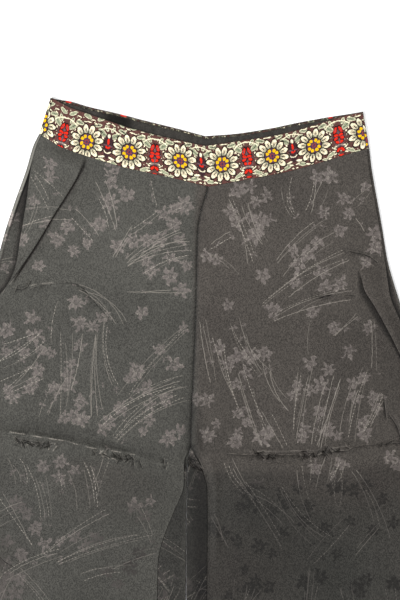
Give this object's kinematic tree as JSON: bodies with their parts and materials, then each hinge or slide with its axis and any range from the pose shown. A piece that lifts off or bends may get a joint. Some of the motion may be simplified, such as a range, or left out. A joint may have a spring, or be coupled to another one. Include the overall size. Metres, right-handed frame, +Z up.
{
  "type": "palazzo pants",
  "caption": "High-waisted wide-leg trousers in flower jacquard with a V-dipped brocade ribbon waistband, laid flat face up.",
  "frame": {"origin": "middle of the garment's outline on the surface it lies on", "axes": "+Y towards the waistband, +Z up from the surface, +X to the right as the garment is seen from above"},
  "size_m": [0.7198, 1.0999, 0.009],
  "materials": {
    "jacquard": "satin jacquard, charcoal with tonal flower sprays",
    "ribbon": "woven brocade ribbon with cream, red, yellow and sage flowers",
    "facing": "plain matt charcoal cloth"
  },
  "bodies": {
    "root": {"back_left": "jacquard", "back_right": "jacquard", "front_left": "jacquard", "front_right": "jacquard", "waistband_back": "ribbon", "waistband_back_facing": "facing", "waistband_front": "ribbon"}
  },
  "joints": []
}
